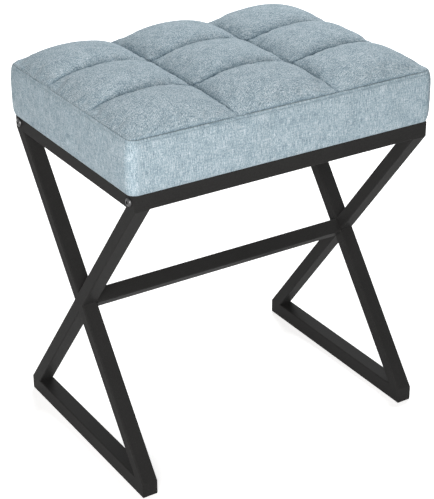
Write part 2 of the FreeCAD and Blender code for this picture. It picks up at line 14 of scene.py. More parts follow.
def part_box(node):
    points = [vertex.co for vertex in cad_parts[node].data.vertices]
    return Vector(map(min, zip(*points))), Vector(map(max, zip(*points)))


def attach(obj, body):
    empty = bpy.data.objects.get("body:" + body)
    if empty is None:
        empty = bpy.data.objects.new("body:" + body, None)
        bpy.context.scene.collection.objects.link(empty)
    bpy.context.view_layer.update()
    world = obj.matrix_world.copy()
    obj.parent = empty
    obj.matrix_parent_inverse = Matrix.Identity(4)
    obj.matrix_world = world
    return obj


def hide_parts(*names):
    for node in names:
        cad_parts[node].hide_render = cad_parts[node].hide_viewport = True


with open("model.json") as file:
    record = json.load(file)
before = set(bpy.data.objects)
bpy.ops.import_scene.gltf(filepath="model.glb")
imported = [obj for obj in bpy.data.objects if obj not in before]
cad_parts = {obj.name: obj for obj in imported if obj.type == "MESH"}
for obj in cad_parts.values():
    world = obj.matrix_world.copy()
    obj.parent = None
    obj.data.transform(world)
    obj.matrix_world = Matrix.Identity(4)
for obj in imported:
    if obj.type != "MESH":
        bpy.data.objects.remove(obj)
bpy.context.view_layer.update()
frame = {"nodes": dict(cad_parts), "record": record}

# Where the seat's pieces lie, from the frame.
PANEL_FOOT, PANEL_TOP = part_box("tufted_top_panel")
BAND_FOOT, BAND_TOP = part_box("cover_side_band")
FOAM_FOOT, FOAM_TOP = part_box("seat_foam")
CLOTH_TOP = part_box("dust_cover")[1]
HALF_X, HALF_Y = PANEL_TOP.x, PANEL_TOP.y
SEAM_Z = PANEL_FOOT.z
BAND_HEIGHT = SEAM_Z - BAND_FOOT.z
SIDE_BULGE = BAND_TOP.x - HALF_X

# Sizes of the cover, in metres.
CORNER_RADIUS = 0.010
FABRIC_THICKNESS = 0.0014
THREAD_PITCH = 0.0011
TURN_UNDER = 0.034
RIM_ROLL, BAND_ROLL = 0.0016, 0.0008
STITCH_DROP = 0.0030
STITCH_Z = SEAM_Z - STITCH_DROP

# Form of the pillows: how high they stand, and how steeply they leave a groove or the rim.
COLUMNS, ROWS = 3, 3
EDGE_RISE = 0.0008
GROOVE_RISE = 0.0038
GROOVE_RUN_IN = 0.026
PILLOW_RISES = (0.0192, 0.0218, 0.0198)
ROW_SHARES = (1.05, 1.01, 0.99)
ALONG_POWER = {"groove": 0.74, "rim": 0.92}
ACROSS_POWER = {"groove": 0.36, "rim": 0.5}
SIDE_POWER = 5

# Grid of one pillow: its spans, and how much of their spacing is drawn to the grooves.
SPANS_ALONG, SPANS_ACROSS = 46, 34
GROOVE_DRAW = 0.7

# Painted shade on the cloth along a sewn line: how much darker it is, and over how many metres that
# fades.
COLUMN_GROOVE_SHADE = (0.4, 0.0014)
ROW_GROOVE_SHADE = (1.1, 0.0016)
RIM_SHADE = (0.35, 0.0005)
SEAM_SHADE = (0.3, 0.0007)
STITCH_SHADE = (0.22, 0.0005)
ROW_GROOVE_FADE = 0.012

# Colours of the linen, and its noises: stretches and speck size in threads, clouds per metre.
# The deep blue is both the darkest thread and the painted shade that the creases pull the cloth
# towards.
DEEP_AND_SHADE_BLUE = (0.110, 0.165, 0.205, 1.0)
MAIN_BLUE = (0.300, 0.394, 0.454, 1.0)
PALE_BLUE = (0.620, 0.685, 0.730, 1.0)
WARP_STRETCH, WEFT_STRETCH = (1.4, 0.11, 1.0), (0.1, 1.2, 1.0)
PICK_STRETCH = (1.7, 0.5, 1.0)
SPECK_SCALE, CLOUD_SCALE = 1.3, 55.0

# Light: the even part, and what the floor adds where it is seen, near the stool and far off.
WORLD_LIGHT = 0.06
NEAR_GLOW, FAR_GLOW = 0.62, 1.0
NEAR_DISTANCE, FAR_DISTANCE = 0.8, 2.5
LAMP_AIM, LAMP_DISTANCE = Vector((0.0, 0.0, 0.35)), 2.5

# The camera, solved from the photograph's edges: pixels, metres and degrees.
PHOTO_WIDTH, PHOTO_HEIGHT = 434, 499
LENS_AXIS_PIXEL = (230.23, 219.94)
FOCAL_PIXELS = 1486.34
CAMERA_PLACE = (-0.8886, -1.4033, 1.0515)
CAMERA_AZIMUTH, CAMERA_ELEVATION, CAMERA_ROLL = -32.78, 25.70, 0.04


# Camera and light

def direction(azimuth, elevation):
    """A unit vector away from the stool, from degrees: azimuth 0 is the front, 90 the right."""
    turn, rise = math.radians(azimuth), math.radians(elevation)
    return Vector((math.sin(turn) * math.cos(rise), -math.cos(turn) * math.cos(rise),
                   math.sin(rise)))


def add_camera():
    """The camera stands where the photograph was taken and is shifted to frame it as it is."""
    data = bpy.data.cameras.new("photo_camera")
    data.sensor_width = 36.0
    data.lens = FOCAL_PIXELS * data.sensor_width / PHOTO_HEIGHT
    data.shift_x = (PHOTO_WIDTH / 2 - LENS_AXIS_PIXEL[0]) / PHOTO_HEIGHT
    data.shift_y = (LENS_AXIS_PIXEL[1] - PHOTO_HEIGHT / 2) / PHOTO_HEIGHT
    back = direction(CAMERA_AZIMUTH, CAMERA_ELEVATION)
    level = Vector((0, 0, 1)).cross(back).normalized()
    upright = back.cross(level)
    roll = math.radians(CAMERA_ROLL)
    right = level * math.cos(roll) + upright * math.sin(roll)
    up = upright * math.cos(roll) - level * math.sin(roll)
    turn = Matrix((right, up, back)).transposed().to_4x4()
    camera = bpy.data.objects.new("photo_camera", data)
    camera.matrix_world = Matrix.Translation(CAMERA_PLACE) @ turn
    bpy.context.collection.objects.link(camera)
    bpy.context.scene.camera = camera


def add_softbox(name, azimuth, elevation, size, power, colour):
    """A square area lamp that faces the stool from the given side."""
    away = direction(azimuth, elevation)
    data = bpy.data.lights.new(name, "AREA")
    data.size, data.energy, data.color = size, power, colour
    lamp = bpy.data.objects.new(name, data)
    lamp.location = LAMP_AIM + LAMP_DISTANCE * away
    lamp.rotation_euler = away.to_track_quat("Z", "Y").to_euler()
    bpy.context.collection.objects.link(lamp)


def add_lights():
    """One soft lamp in front and one behind, in balance with the photograph's shading."""
    add_softbox("front_softbox", -38, 15, 1.5, 72, (1.0, 0.975, 0.95))
    add_softbox("back_softbox", 133, 45, 1.3, 64, (0.99, 1.0, 1.0))


# Node building

def add_node(tree, kind, inputs=None, **settings):
    """Add a shader node, set its properties, and set or link its inputs."""
    new = tree.nodes.new(kind)
    for name, value in settings.items():
        setattr(new, name, value)
    for name, value in (inputs or {}).items():
        if isinstance(value, bpy.types.NodeSocket):
            tree.links.new(value, new.inputs[name])
        else:
            new.inputs[name].default_value = value
    return new


def maths(tree, operation, first, second=0.0):
    """One Math node's output; each input is a number or a socket."""
    return add_node(tree, "ShaderNodeMath", {0: first, 1: second}, operation=operation).outputs[0]


def scaled(tree, value, gain, base=0.0):
    """A value times a gain, plus a base."""
    return add_node(tree, "ShaderNodeMath", {0: value, 1: gain, 2: base},
                    operation="MULTIPLY_ADD").outputs[0]


def total(tree, first, *others):
    """The sum of several values."""
    for other in others:
        first = maths(tree, "ADD", first, other)
    return first


def stretched(tree, place, scale):
    """A vector multiplied, part by part, by a fixed one."""
    made = add_node(tree, "ShaderNodeVectorMath", {0: place, 1: scale}, operation="MULTIPLY")
    return made.outputs["Vector"]


def enlarged(tree, place, scale):
    """A vector multiplied by one value."""
    made = add_node(tree, "ShaderNodeVectorMath", {0: place, "Scale": scale}, operation="SCALE")
    return made.outputs["Vector"]


def noise(tree, place, scale, detail=2.0, roughness=0.5):
    """Smooth noise from 0 to 1 at a place."""
    made = add_node(tree, "ShaderNodeTexNoise",
                    {"Vector": place, "Scale": scale, "Detail": detail, "Roughness": roughness})
    return made.outputs["Fac"]


def mixed(tree, factor, first, second):
    """Two colours mixed; each input is a colour or a socket."""
    made = add_node(tree, "ShaderNodeMix", data_type="RGBA")
    for index, value in ((0, factor), (6, first), (7, second)):
        if isinstance(value, bpy.types.NodeSocket):
            tree.links.new(value, made.inputs[index])
        else:
            made.inputs[index].default_value = value
    return made.outputs[2]


def new_group(name, inputs, outputs):
    """A node group with named sockets; returns its tree, its input node and its output node."""
    tree = bpy.data.node_groups.new(name, "ShaderNodeTree")
    for socket, kind in inputs.items():
        tree.interface.new_socket(socket, in_out="INPUT", socket_type="NodeSocket" + kind)
    for socket, kind in outputs.items():
        tree.interface.new_socket(socket, in_out="OUTPUT", socket_type="NodeSocket" + kind)
    return tree, tree.nodes.new("NodeGroupInput"), tree.nodes.new("NodeGroupOutput")


def new_material(name, colour, roughness, metallic=0.0, specular=0.5):
    """A material with one Principled shader; returns the material, its tree and that shader."""
    material = bpy.data.materials.new(name)
    material.use_nodes = True
    material.diffuse_color = (*colour, 1.0)
    tree = material.node_tree
    shader = tree.nodes["Principled BSDF"]
    shader.inputs["Base Color"].default_value = (*colour, 1.0)
    shader.inputs["Roughness"].default_value = roughness
    shader.inputs["Metallic"].default_value = metallic
    shader.inputs["Specular IOR Level"].default_value = specular
    return material, tree, shader


def add_bump(tree, shader, height, distance, strength=1.0):
    """Bump the surface by a height times the given distance in metres."""
    bump = add_node(tree, "ShaderNodeBump",
                    {"Height": height, "Distance": distance, "Strength": strength})
    tree.links.new(bump.outputs["Normal"], shader.inputs["Normal"])


def object_place(tree):
    """The place on the object, in metres."""
    return tree.nodes.new("ShaderNodeTexCoord").outputs["Object"]


def rgba(red, green, blue):
    """An opaque colour."""
    return (red, green, blue, 1.0)


# Shared effects

def speckle_group():
    """Fine grain and a slow mottle.

    Mask is three parts of a fine noise to one of a noise forty times coarser.
    Shade is 1 plus the range times the mask less a half. Height is the fine
    noise alone.
    """
    tree, given, made = new_group(
        "speckle", {"Place": "Vector", "Grain Scale": "Float", "Range": "Float"},
        {"Mask": "Float", "Shade": "Float", "Height": "Float"})
    place, scale = given.outputs["Place"], given.outputs["Grain Scale"]
    fine = noise(tree, place, scale, detail=3.0)
    slow = noise(tree, place, maths(tree, "DIVIDE", scale, 40.0))
    mask = total(tree, scaled(tree, fine, 0.75), scaled(tree, slow, 0.25))
    shade = scaled(tree, maths(tree, "SUBTRACT", mask, 0.5), given.outputs["Range"], 1.0)
    for name, value in (("Mask", mask), ("Shade", shade), ("Height", fine)):
        tree.links.new(value, made.inputs[name])
    return tree


def linen_group():
    """Heathered plain weave, on places in metres along the cloth.

    Tone is a half plus slubs along the warp, slubs along the weft, short picks,
    specks about the size of one thread and slow clouds, less the painted shade
    of the creases. It runs the colour from deep (also the painted shade's
    colour) through main to pale. Height is the over-and-under of the threads,
    in turn the warp's and the weft's rounded back, plus the slubs. Roughness
    rises a little with the specks.
    """
    tree, given, made = new_group(
        "heathered_linen",
        {"Place": "Vector", "Painted Shade": "Float", "Pitch": "Float", "Warp Slub": "Float",
         "Weft Slub": "Float", "Grain": "Float", "Deep And Shade": "Color", "Main": "Color",
         "Pale": "Color"},
        {"Color": "Color", "Height": "Float", "Roughness": "Float"})
    place = given.outputs["Place"]
    threads = enlarged(tree, place, maths(tree, "DIVIDE", 1.0, given.outputs["Pitch"]))
    warp = noise(tree, stretched(tree, threads, WARP_STRETCH), 1.0)
    weft = noise(tree, stretched(tree, threads, WEFT_STRETCH), 1.0)
    picks = noise(tree, stretched(tree, threads, PICK_STRETCH), 1.0, detail=1.0)
    specks = noise(tree, threads, SPECK_SCALE, detail=1.0)
    clouds = noise(tree, place, CLOUD_SCALE, detail=3.0, roughness=0.6)

    def centred(value, gain):
        return maths(tree, "MULTIPLY", maths(tree, "SUBTRACT", value, 0.5), gain)

    slubs = total(tree, centred(warp, given.outputs["Warp Slub"]),
                  centred(weft, given.outputs["Weft Slub"]))
    grain = maths(tree, "MULTIPLY", given.outputs["Grain"],
                  total(tree, centred(specks, 0.5), centred(picks, 1.0)))
    tone = total(tree, slubs, grain, centred(clouds, 0.45), 0.5)
    # Painted shade: the creases take tone away, towards the deep colour.
    tone = maths(tree, "SUBTRACT", tone, given.outputs["Painted Shade"])
    doubled = maths(tree, "MULTIPLY", tone, 2.0)
    low = add_node(tree, "ShaderNodeClamp", {"Value": doubled}).outputs[0]
    high = add_node(tree, "ShaderNodeClamp",
                    {"Value": maths(tree, "SUBTRACT", doubled, 1.0)}).outputs[0]
    colour = mixed(tree, low, given.outputs["Deep And Shade"], given.outputs["Main"])
    colour = mixed(tree, high, colour, given.outputs["Pale"])

    split = add_node(tree, "ShaderNodeSeparateXYZ", {0: threads})
    backs = []
    for axis in ("X", "Y"):
        phase = maths(tree, "MULTIPLY", split.outputs[axis], math.pi)
        backs.append(maths(tree, "ABSOLUTE", maths(tree, "SINE", phase)))
    turns = add_node(tree, "ShaderNodeTexChecker", {"Vector": threads, "Scale": 1.0}).outputs["Fac"]
    over = add_node(tree, "ShaderNodeMix", {0: turns, 2: backs[0], 3: backs[1]}).outputs[0]
    height = total(tree, over, scaled(tree, slubs, 0.8))
    rough = scaled(tree, specks, 0.15, 0.8)
    for name, value in (("Color", colour), ("Height", height), ("Roughness", rough)):
        tree.links.new(value, made.inputs[name])
    return tree


SPECKLE = speckle_group()
LINEN = linen_group()


# Finishes

def speckled(name, colour, grain_scale, shade_range, rough, bump, strength=1.0, **surface):
    """A finish whose colour, roughness and height vary with the speckle group.

    Rough is the least roughness and how much the mask adds to it; bump is the
    height of the grain in metres; surface is the metallic or specular share.
    """
    least, added = rough
    material, tree, shader = new_material(name, colour, least, **surface)
    grain = add_node(tree, "ShaderNodeGroup", {"Place": object_place(tree),
                                               "Grain Scale": grain_scale, "Range": shade_range},
                     node_tree=SPECKLE).outputs
    tree.links.new(enlarged(tree, colour, grain["Shade"]), shader.inputs["Base Color"])
    tree.links.new(scaled(tree, grain["Mask"], added, least), shader.inputs["Roughness"])
    add_bump(tree, shader, grain["Height"], bump, strength)
    return material


def powder_coat():
    """Satin black powder coat: a fine orange peel with specks of lighter grain."""
    return speckled("satin_black_powder_coat", (0.025, 0.025, 0.025), 900.0, 0.9, (0.4, 0.2),
                    0.00012, strength=0.5, specular=0.02)


def black_oxide():
    """Black oxide steel, rubbed a little brighter in patches."""
    return speckled("black_oxide", (0.09, 0.09, 0.092), 2500.0, 1.4, (0.18, 0.25), 0.00003,
                    metallic=0.9)


def zinc_plate(name, tone, least_rough):
    """Zinc plated steel with a cloudy lustre."""
    return speckled(name, (tone, tone, tone * 0.97), 1500.0, 0.5, (least_rough, 0.2), 0.00002,
                    metallic=1.0)


def birch_plywood():
    """Plies 1.5 mm thick, alternately light and dark, with grain along the board."""
    material, tree, shader = new_material("birch_plywood", (0.55, 0.40, 0.24), 0.7)
    place = object_place(tree)
    plies = add_node(tree, "ShaderNodeTexWave",
                     {"Vector": place, "Scale": 105.0, "Distortion": 0.6, "Detail Scale": 8.0},
                     bands_direction="Z").outputs["Fac"]
    grain = noise(tree, stretched(tree, place, (8.0, 220.0, 220.0)), 1.0, detail=5.0)
    knots = noise(tree, stretched(tree, place, (6.0, 26.0, 26.0)), 1.0, detail=2.0)
    wood = mixed(tree, grain, rgba(0.40, 0.27, 0.14), rgba(0.66, 0.50, 0.31))
    wood = mixed(tree, maths(tree, "MULTIPLY", plies, 0.35), wood, rgba(0.30, 0.19, 0.10))
    wood = mixed(tree, maths(tree, "MULTIPLY", knots, 0.3), wood, rgba(0.60, 0.44, 0.26))
    tree.links.new(wood, shader.inputs["Base Color"])
    add_bump(tree, shader, grain, 0.0002)
    return material


def open_cell_foam():
    """Cream foam: cells a millimetre across, yellowing in clouds."""
    material, tree, shader = new_material("open_cell_foam", (0.75, 0.72, 0.60), 0.95,
                                          specular=0.2)
    place = object_place(tree)
    cells = add_node(tree, "ShaderNodeTexVoronoi", {"Vector": place, "Scale": 900.0})
    cells = cells.outputs["Distance"]
    clouds = noise(tree, place, 30.0, detail=3.0)
    cream = mixed(tree, clouds, rgba(0.72, 0.66, 0.48), rgba(0.80, 0.77, 0.66))
    foam = mixed(tree, cells, rgba(0.45, 0.40, 0.28), cream)
    tree.links.new(foam, shader.inputs["Base Color"])
    add_bump(tree, shader, cells, 0.0004)
    return material


def bonded_cloth():
    """Black non-woven cloth: matted fibres and a pressed grid of dots."""
    material, tree, shader = new_material("bonded_black_cloth", (0.02, 0.02, 0.02), 0.9,
                                          specular=0.25)
    place = object_place(tree)
    fibres = noise(tree, stretched(tree, place, (1.0, 3.0, 1.0)), 700.0, detail=4.0,
                   roughness=0.7)
    dots = add_node(tree, "ShaderNodeTexVoronoi",
                    {"Vector": place, "Scale": 500.0, "Randomness": 0.15}).outputs["Distance"]
    black = mixed(tree, fibres, rgba(0.008, 0.008, 0.008), rgba(0.045, 0.045, 0.046))
    tree.links.new(black, shader.inputs["Base Color"])
    add_bump(tree, shader, total(tree, fibres, scaled(tree, dots, 1.2)), 0.0002)
    return material


def seat_linen(name, warp_slub, weft_slub, grain):
    """Blue-grey heathered linen, read from the cloth's own UV map in metres."""
    material, tree, shader = new_material(name, MAIN_BLUE[:3], 0.9, specular=0.2)
    shader.inputs["Sheen Weight"].default_value = 0.07
    shader.inputs["Sheen Roughness"].default_value = 0.5
    cloth = add_node(tree, "ShaderNodeUVMap", uv_map="cloth").outputs["UV"]
    # Painted shade of the creases, per point of the cloth.
    painted_shade = add_node(tree, "ShaderNodeAttribute", attribute_name="painted_shade").outputs["Fac"]
    linen = add_node(tree, "ShaderNodeGroup",
                     {"Place": cloth, "Painted Shade": painted_shade, "Pitch": THREAD_PITCH,
                      "Warp Slub": warp_slub, "Weft Slub": weft_slub, "Grain": grain,
                      "Deep And Shade": DEEP_AND_SHADE_BLUE, "Main": MAIN_BLUE, "Pale": PALE_BLUE},
                     node_tree=LINEN).outputs
    tree.links.new(linen["Color"], shader.inputs["Base Color"])
    tree.links.new(linen["Roughness"], shader.inputs["Roughness"])
    add_bump(tree, shader, linen["Height"], 0.00035, 0.2)
    return material


def sewing_thread():
    """Twisted blue-grey thread."""
    material, tree, shader = new_material("sewing_thread", (0.30, 0.37, 0.42), 0.7, specular=0.3)
    twist = noise(tree, object_place(tree), 2500.0, detail=1.0)
    blue = mixed(tree, twist, rgba(0.20, 0.26, 0.30), rgba(0.40, 0.48, 0.53))
    tree.links.new(blue, shader.inputs["Base Color"])
    add_bump(tree, shader, twist, 0.0001)
    return material


# Surfaces

def grid_faces(lines, points, close_lines=False, close_points=False):
    """Quads between neighbouring lines of a grid, whose points are numbered line by line."""
    line = np.arange(lines if close_lines else lines - 1)
    point = np.arange(points if close_points else points - 1)
    a, b = np.meshgrid(line, point, indexing="ij")
    a2, b2 = (a + 1) % lines, (b + 1) % points
    quads = [a * points + b, a2 * points + b, a2 * points + b2, a * points + b2]
    return np.stack(quads, axis=-1).reshape(-1, 4)


def fan_faces(loop, centre):
    """Triangles from a closed loop of indices to one centre index."""
    return np.stack([loop, np.roll(loop, -1), np.full(len(loop), centre)], axis=-1)


def new_piece(name, points, faces, material, cloth=None, painted_shade=None):
    """A smooth mesh piece on body root.

    Cloth is its UV map in metres; the last argument is the share of painted shade at each point.
    """
    mesh = bpy.data.meshes.new(name)
    mesh.from_pydata(points.tolist(), [], [face for part in faces for face in part.tolist()])
    mesh.update()
    mesh.polygons.foreach_set("use_smooth", np.ones(len(mesh.polygons), dtype=bool))
    if cloth is not None:
        corner_points = np.empty(len(mesh.loops), dtype=np.int32)
        mesh.loops.foreach_get("vertex_index", corner_points)
        layer = mesh.uv_layers.new(name="cloth")
        layer.data.foreach_set("uv", cloth[corner_points].ravel().astype(np.float32))
    if painted_shade is not None:
        layer = mesh.attributes.new("painted_shade", "FLOAT", "POINT")
        layer.data.foreach_set("value", painted_shade.astype(np.float32))
    mesh.materials.append(material)
    piece = bpy.data.objects.new(name, mesh)
    bpy.context.collection.objects.link(piece)
    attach(piece, "root")
    return piece


def ripples(place, lengths, seed):
    """An uneven wave: the mean of sines of the given wavelengths, with seeded phases."""
    phases = np.random.default_rng(seed).uniform(0, 2 * np.pi, len(lengths))
    waves = (np.sin(2 * np.pi * place / length + phase)
             for length, phase in zip(lengths, phases))
    return sum(waves) / len(lengths)


class Outline:
    """The seat's outline in plan: a rectangle with rounded corners, walked anticlockwise.

    Each sample has a corner direction (a, b), from -1 to 1 along the straight
    sides, and an outward normal. The line at a distance out from the outline is
    (a, b) times the half sizes less the radius there, plus the radius along
    the normal.
    """

    LEAST_RADIUS = 0.001

    def __init__(self, half_x, half_y, radius, step, arc_spans=12):
        self.half_x, self.half_y, self.radius = half_x, half_y, radius
        straight_x, straight_y = 2 * (half_x - radius), 2 * (half_y - radius)
        spans_x, spans_y = round(straight_x / step), round(straight_y / step)
        arc = radius * np.pi / 2
        ab, angles, lengths = [], [], [0.0]
        sides = ((spans_x, straight_x, (-1, -1), (1, -1), -90),
                 (spans_y, straight_y, (1, -1), (1, 1), 0),
                 (spans_x, straight_x, (1, 1), (-1, 1), 90),
                 (spans_y, straight_y, (-1, 1), (-1, -1), 180))
        for spans, straight, start, end, angle in sides:
            share = np.arange(spans)[:, None] / spans
            ab.append(np.array(start) * (1 - share) + np.array(end) * share)
            angles.append(np.full(spans, float(angle)))
            lengths.append(np.full(spans, straight / spans))
            ab.append(np.tile(np.array(end, dtype=float), (arc_spans, 1)))
            angles.append(angle + 90 * np.arange(arc_spans) / arc_spans)
            lengths.append(np.full(arc_spans, arc / arc_spans))
        self.ab = np.concatenate(ab)
        turn = np.radians(np.concatenate(angles))
        self.normal = np.stack([np.cos(turn), np.sin(turn)], axis=1)
        walked = np.cumsum(np.concatenate([np.atleast_1d(part) for part in lengths]))
        self.walked, self.perimeter = walked[:-1], walked[-1]

    def at(self, out):
        """Plan places, samples x 2, at one distance out or at one for each sample."""
        out = np.asarray(out, dtype=float)[..., None]
        radius = np.maximum(self.radius + out, self.LEAST_RADIUS)
        halves = np.array([self.half_x, self.half_y]) + out - radius
        return self.ab * halves + self.normal * radius


# The tufted top

def cell_lines(half, count, spans):
    """Grid lines over all cells, drawn towards the grooves.

    At s from -1 to 1 in a cell a line lies at the share (1 - draw) s + draw sin(pi s / 2).
    """
    s = np.linspace(-1, 1, spans + 1)
    share = (1 - GROOVE_DRAW) * s + GROOVE_DRAW * np.sin(np.pi / 2 * s)
    width = 2 * half / count
    starts = -half + width * np.arange(count)
    return np.append((starts[:, None] + width * (1 + share[None, :-1]) / 2).ravel(), half)


def cell_share(place, half, count):
    """Which cell a place is in, and its share from -1 to 1 across that cell."""
    position = (place + half) / (2 * half) * count
    cell = np.clip(np.floor(position), 0, count - 1).astype(int)
    return cell, 2 * (position - cell) - 1


def fullness(share, cell, count, powers):
    """Share of a pillow's rise: (1 - share squared) to a power for its side, groove or rim."""
    at_rim = ((share < 0) & (cell == 0)) | ((share > 0) & (cell == count - 1))
    return np.maximum(1 - share ** 2, 0) ** np.where(at_rim, powers["rim"], powers["groove"])


def pillow_heights(x, y):
    """Height of the pillows over the seam.

    The floor of the grooves climbs from the rim along a quarter sine, and over
    the outer rows in a straight line. Each pillow adds its column's rise times
    its row's share, its fullness along X and its fullness across.
    """
    column, along = cell_share(x, HALF_X, COLUMNS)
    row, across = cell_share(y, HALF_Y, ROWS)
    run_in = np.clip((HALF_X - np.abs(x)) / GROOVE_RUN_IN, 0, 1)
    floor = EDGE_RISE + (GROOVE_RISE - EDGE_RISE) * np.sin(run_in * np.pi / 2)
    climb = np.clip((HALF_Y - np.abs(y)) / (2 * HALF_Y / ROWS), 0, 1)
    level = EDGE_RISE + (floor - EDGE_RISE) * climb
    rise = np.array(PILLOW_RISES)[column] * np.array(ROW_SHARES)[row]
    swell_along = fullness(along, column, COLUMNS, ALONG_POWER)
    swell_across = fullness(across, row, ROWS, ACROSS_POWER)
    return level + rise * swell_along * swell_across


def groove_distance(place, half, count):
    """Distance to the nearest groove, the rim not counted."""
    grooves = -half + 2 * half / count * np.arange(1, count)
    return np.min(np.abs(place[..., None] - grooves), axis=-1)


def round_corners(x, y):
    """Squeeze the square corners of the grid onto the rounded outline.

    Inside a corner's square, at (p, q) from its centre in radii, the point moves
    to (p, q) times the larger of p and q over their length.
    """
    p = np.maximum(np.abs(x) - (HALF_X - CORNER_RADIUS), 0) / CORNER_RADIUS
    q = np.maximum(np.abs(y) - (HALF_Y - CORNER_RADIUS), 0) / CORNER_RADIUS
    squeeze = np.maximum(p, q) / np.maximum(np.hypot(p, q), 1e-9)
    inside = (p > 0) & (q > 0)
    new_x = np.sign(x) * (HALF_X - CORNER_RADIUS + CORNER_RADIUS * p * squeeze)
    new_y = np.sign(y) * (HALF_Y - CORNER_RADIUS + CORNER_RADIUS * q * squeeze)
    return np.where(inside, new_x, x), np.where(inside, new_y, y)


def gathers(x, y):
    """Small gathers of the cloth where it is sewn down.

    Beside a groove the cloth ripples along it. The ripple grows from nothing
    over its width and fades exponentially over its reach.
    """
    rise, width, reach = 0.0018, 0.001, 0.008
    height = np.zeros_like(x)
    for place, beside, half, count, seed in ((x, y, HALF_Y, ROWS, 3), (y, x, HALF_X, COLUMNS, 4)):
        distance = groove_distance(beside, half, count)
        wave = ripples(place, (0.0065, 0.0091, 0.0137, 0.029), seed)
        height += wave * np.exp(-distance / reach) * np.minimum(distance / width, 1)
    return rise * height


def walked_lengths(surface):
    """Lengths walked over a grid surface from its middle lines, each of its two ways."""
    walked = []
    for axis in (0, 1):
        first = np.take(surface, [0], axis=axis)
        steps = np.linalg.norm(np.diff(surface, axis=axis, prepend=first), axis=-1)
        length = np.cumsum(steps, axis=axis)
        walked.append(length - np.take(length, [surface.shape[axis] // 2], axis=axis))
    return np.stack(walked, axis=-1)


def hold_and_fill(piece, held):
    """Blow the cover out a little, as its filling does, and keep the result.

    Its sewn lines are held. A point moves by the most times the hyperbolic
    tangent of its simulated move over the most.
    """
    frames, most = 20, 0.0016
    start = np.empty(3 * len(piece.data.vertices))
    piece.data.vertices.foreach_get("co", start)
    group = piece.vertex_groups.new(name="sewn")
    group.add(np.flatnonzero(held).tolist(), 1.0, "REPLACE")
    fill = piece.modifiers.new("fill", "CLOTH")
    cloth = {"quality": 6, "mass": 0.25, "tension_stiffness": 12, "compression_stiffness": 12,
             "shear_stiffness": 6, "bending_stiffness": 0.6, "shrink_min": -0.04,
             "use_pressure": True, "uniform_pressure_force": 4, "vertex_group_mass": group.name}
    for name, value in cloth.items():
        setattr(fill.settings, name, value)
    fill.settings.effector_weights.gravity = 0
    fill.point_cache.frame_start, fill.point_cache.frame_end = 1, frames
    for step in range(1, frames + 1):
        bpy.context.scene.frame_set(step)
    swollen = piece.evaluated_get(bpy.context.evaluated_depsgraph_get()).to_mesh()
    end = np.empty_like(start)
    swollen.vertices.foreach_get("co", end)
    piece.modifiers.remove(fill)
    piece.vertex_groups.remove(group)
    bpy.context.scene.frame_set(1)
    move = (end - start).reshape(-1, 3)
    length = np.linalg.norm(move, axis=1, keepdims=True)
    capped = most * np.tanh(length / most)
    moved = start.reshape(-1, 3) + move * capped / np.maximum(length, 1e-9)
    piece.data.vertices.foreach_set("co", moved.ravel())
    piece.data.update()


def painted_shade_line(distance, shade):
    """Painted shade beside a sewn line at a distance from it: a share that fades exponentially."""
    share, reach = shade
    return share * np.exp(-distance / reach)


def tufted_top(material):
    """Nine sewn pillows over a flat backing: a closed form on a grid of plan places.

    Over the rim's roll the height above the seam falls to a tenth of itself
    along a quarter sine. The backing shares the rim's points.
    """
    x, y = np.meshgrid(cell_lines(HALF_X, COLUMNS, SPANS_ALONG),
                       cell_lines(HALF_Y, ROWS, SPANS_ACROSS), indexing="ij")
    to_end, to_side = HALF_X - np.abs(x), HALF_Y - np.abs(y)
    to_rim = np.minimum(to_end, to_side)
    lifted = 0.1 + 0.9 * np.sin(np.clip(to_rim / RIM_ROLL, 0, 1) * np.pi / 2)
    z = SEAM_Z + (pillow_heights(x, y) + gathers(x, y)) * lifted
    plan_x, plan_y = round_corners(x, y)
    plan_x, plan_y = plan_x * (1 - BAND_ROLL / HALF_X), plan_y * (1 - BAND_ROLL / HALF_Y)
    top = np.stack([plan_x, plan_y, z], axis=-1)
    inside = np.zeros(x.shape, dtype=bool)
    inside[1:-1, 1:-1] = True
    back = top[inside] * (1, 1, 0) + (0, 0, SEAM_Z)
    points = np.concatenate([top.reshape(-1, 3), back])
    faces = grid_faces(*x.shape)
    back_index = np.arange(x.size)
    back_index[inside.ravel()] = x.size + np.arange(len(back))

    # Painted shade: darker cloth along the grooves and at the long sides' rim.
    to_column_groove = groove_distance(x, HALF_X, COLUMNS)
    to_row_groove = groove_distance(y, HALF_Y, ROWS)
    run_out = 1 - np.exp(-to_end / ROW_GROOVE_FADE)
    painted_shade = np.maximum(painted_shade_line(to_column_groove, COLUMN_GROOVE_SHADE),
                        run_out * painted_shade_line(to_row_groove, ROW_GROOVE_SHADE))
    painted_shade += painted_shade_line(to_side, RIM_SHADE)
    painted_shade = np.append(painted_shade.ravel(), np.zeros(len(back)))
    cloth = np.concatenate([walked_lengths(top).reshape(-1, 2), back[:, :2]])
    piece = new_piece("tufted_top", points, [faces, back_index[faces][:, ::-1]], material,
                      cloth=cloth, painted_shade=painted_shade)
    sewn = (np.minimum(to_column_groove, to_row_groove) < 1e-6) | (to_rim < RIM_ROLL)
    hold_and_fill(piece, np.append(sewn.ravel(), np.ones(len(back), dtype=bool)))
    smooth = piece.modifiers.new("smooth", "SUBSURF")
    smooth.levels = smooth.render_levels = 1
    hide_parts("tufted_top_panel")


# The side band

